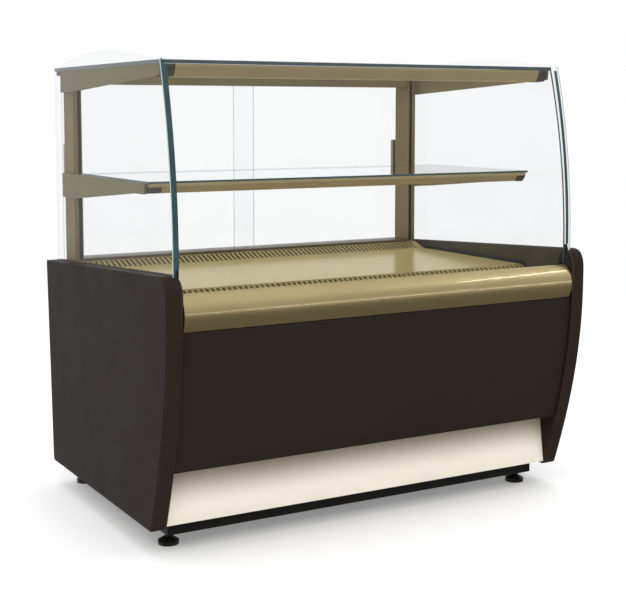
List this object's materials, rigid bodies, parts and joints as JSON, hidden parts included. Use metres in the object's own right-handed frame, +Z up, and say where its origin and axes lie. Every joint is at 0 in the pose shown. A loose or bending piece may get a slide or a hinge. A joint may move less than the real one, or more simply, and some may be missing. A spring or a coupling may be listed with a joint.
{
  "type": "refrigerated display counter",
  "caption": "Refrigerated food display counter with a flat vented deck, a glass shelf and canopy, a curved tilting front glass, sliding rear doors and levelling feet.",
  "frame": {"origin": "on the floor, at the middle of the overall width and depth", "axes": "+X along the length, to the right seen from the customer's side; +Y from the customer's side to the staff side; +Z up"},
  "size_m": [1.3, 0.9239, 1.276],
  "materials": {
    "side_panels": "satin",
    "front_panel": "satin",
    "kick_plate": "satin",
    "bumper": "gloss",
    "display_deck": "gloss",
    "vent_grilles": "satin",
    "rubber": "matte",
    "foam": "matte",
    "liner": "satin",
    "coils": "satin",
    "galvanised": "satin",
    "fan_plastic": "satin",
    "frame_black": "satin",
    "feet": "matte",
    "compressor": "gloss",
    "motor": "satin",
    "fan_metal": "satin",
    "copper": "satin",
    "pan_plastic": "satin",
    "box_plastic": "satin",
    "black_plastic": "satin",
    "rear_panel": "satin",
    "rear_ledge": "gloss",
    "display_window": "gloss",
    "keys": "satin",
    "rocker": "gloss",
    "gold_frame": "satin",
    "canopy_glass": "polished",
    "gold_profile": "satin",
    "led": "satin",
    "end_caps": "satin",
    "shelf_glass": "polished",
    "side_glass": "polished",
    "front_glass": "polished",
    "carrier": "satin",
    "tracks": "satin",
    "door_glass": "polished",
    "handles": "satin",
    "screws": "polished"
  },
  "bodies": {
    "cabinet": {"side_panel_left": "side_panels", "side_panel_right": "side_panels", "front_panel": "front_panel", "kick_plate": "kick_plate", "bumper": "bumper", "display_deck": "display_deck", "front_vent_grille": "vent_grilles", "rear_vent_grille": "vent_grilles", "rubber_seals": "rubber", "tub_insulation": "foam", "tub_liner": "liner", "evaporator_coil": "coils", "evaporator_fan_housing": "galvanised", "base_frame": "frame_black", "unit_tray": "galvanised", "compressor": "compressor", "compressor_mounts": "rubber", "condenser_coil": "coils", "condenser_fan_shroud": "frame_black", "condenser_fan_motor": "motor", "refrigerant_lines": "copper", "condensate_pan": "pan_plastic", "electrical_box": "box_plastic", "power_inlet": "black_plastic", "rear_panel": "rear_panel", "rear_ledge": "rear_ledge", "control_fascia": "black_plastic", "control_display": "display_window", "rear_post_left": "gold_frame", "rear_post_right": "gold_frame", "rear_top_beam": "gold_frame", "canopy_brackets": "gold_frame", "canopy_glass": "canopy_glass", "canopy_light_profile": "gold_profile", "shelf_front_profile": "gold_profile", "led_strips": "led", "profile_end_caps": "end_caps", "shelf_brackets": "gold_frame", "shelf_glass": "shelf_glass", "side_glass_left": "side_glass", "side_glass_right": "side_glass", "hinge_blocks": "black_plastic", "door_tracks": "tracks", "panel_screws": "screws"},
    "front_window": {"front_glass": "front_glass", "front_glass_carrier": "carrier"},
    "door_left": {"door_left": "door_glass", "door_handle_left": "handles"},
    "door_right": {"door_right": "door_glass", "door_handle_right": "handles"},
    "foot_front_left": {"levelling_foot_front_left": "feet"},
    "foot_front_right": {"levelling_foot_front_right": "feet"},
    "foot_rear_left": {"levelling_foot_rear_left": "feet"},
    "foot_rear_right": {"levelling_foot_rear_right": "feet"},
    "condenser_fan": {"condenser_fan": "fan_metal"},
    "evaporator_fan": {"evaporator_fan": "fan_plastic"},
    "button_up": {"button_up": "keys"},
    "button_down": {"button_down": "keys"},
    "button_set": {"button_set": "keys"},
    "power_rocker": {"power_rocker": "rocker"}
  },
  "joints": [
    {"name": "front_glass_tilt", "type": "hinge", "parent": "cabinet", "child": "front_window", "pos_m": [0, -0.4155, 0.672], "axis": [1, 0, 0], "range_deg": [0, 28]},
    {"name": "door_left_slide", "type": "slide", "parent": "cabinet", "child": "door_left", "axis": [1, 0, 0], "range_m": [0, 0.52]},
    {"name": "door_right_slide", "type": "slide", "parent": "cabinet", "child": "door_right", "axis": [1, 0, 0], "range_m": [-0.52, 0]},
    {"name": "foot_front_left_height", "type": "slide", "parent": "cabinet", "child": "foot_front_left", "axis": [0, 0, -1], "range_m": [0, 0.02]},
    {"name": "foot_front_right_height", "type": "slide", "parent": "cabinet", "child": "foot_front_right", "axis": [0, 0, -1], "range_m": [0, 0.02]},
    {"name": "foot_rear_left_height", "type": "slide", "parent": "cabinet", "child": "foot_rear_left", "axis": [0, 0, -1], "range_m": [0, 0.02]},
    {"name": "foot_rear_right_height", "type": "slide", "parent": "cabinet", "child": "foot_rear_right", "axis": [0, 0, -1], "range_m": [0, 0.02]},
    {"name": "condenser_fan_spin", "type": "hinge", "parent": "cabinet", "child": "condenser_fan", "pos_m": [0.25, 0.262, 0.256], "axis": [0, 1, 0], "continuous": true},
    {"name": "evaporator_fan_spin", "type": "hinge", "parent": "cabinet", "child": "evaporator_fan", "pos_m": [0, 0.08, 0.554], "axis": [0, 1, 0], "continuous": true},
    {"name": "button_up_press", "type": "slide", "parent": "cabinet", "child": "button_up", "axis": [0, -1, 0], "range_m": [0, 0.0012], "stiffness_N_per_m": 800},
    {"name": "button_down_press", "type": "slide", "parent": "cabinet", "child": "button_down", "axis": [0, -1, 0], "range_m": [0, 0.0012], "stiffness_N_per_m": 800},
    {"name": "button_set_press", "type": "slide", "parent": "cabinet", "child": "button_set", "axis": [0, -1, 0], "range_m": [0, 0.0012], "stiffness_N_per_m": 800},
    {"name": "power_rocker_tilt", "type": "hinge", "parent": "cabinet", "child": "power_rocker", "pos_m": [-0.376, 0.403, 0.586], "axis": [1, 0, 0], "range_deg": [0, 12]}
  ]
}
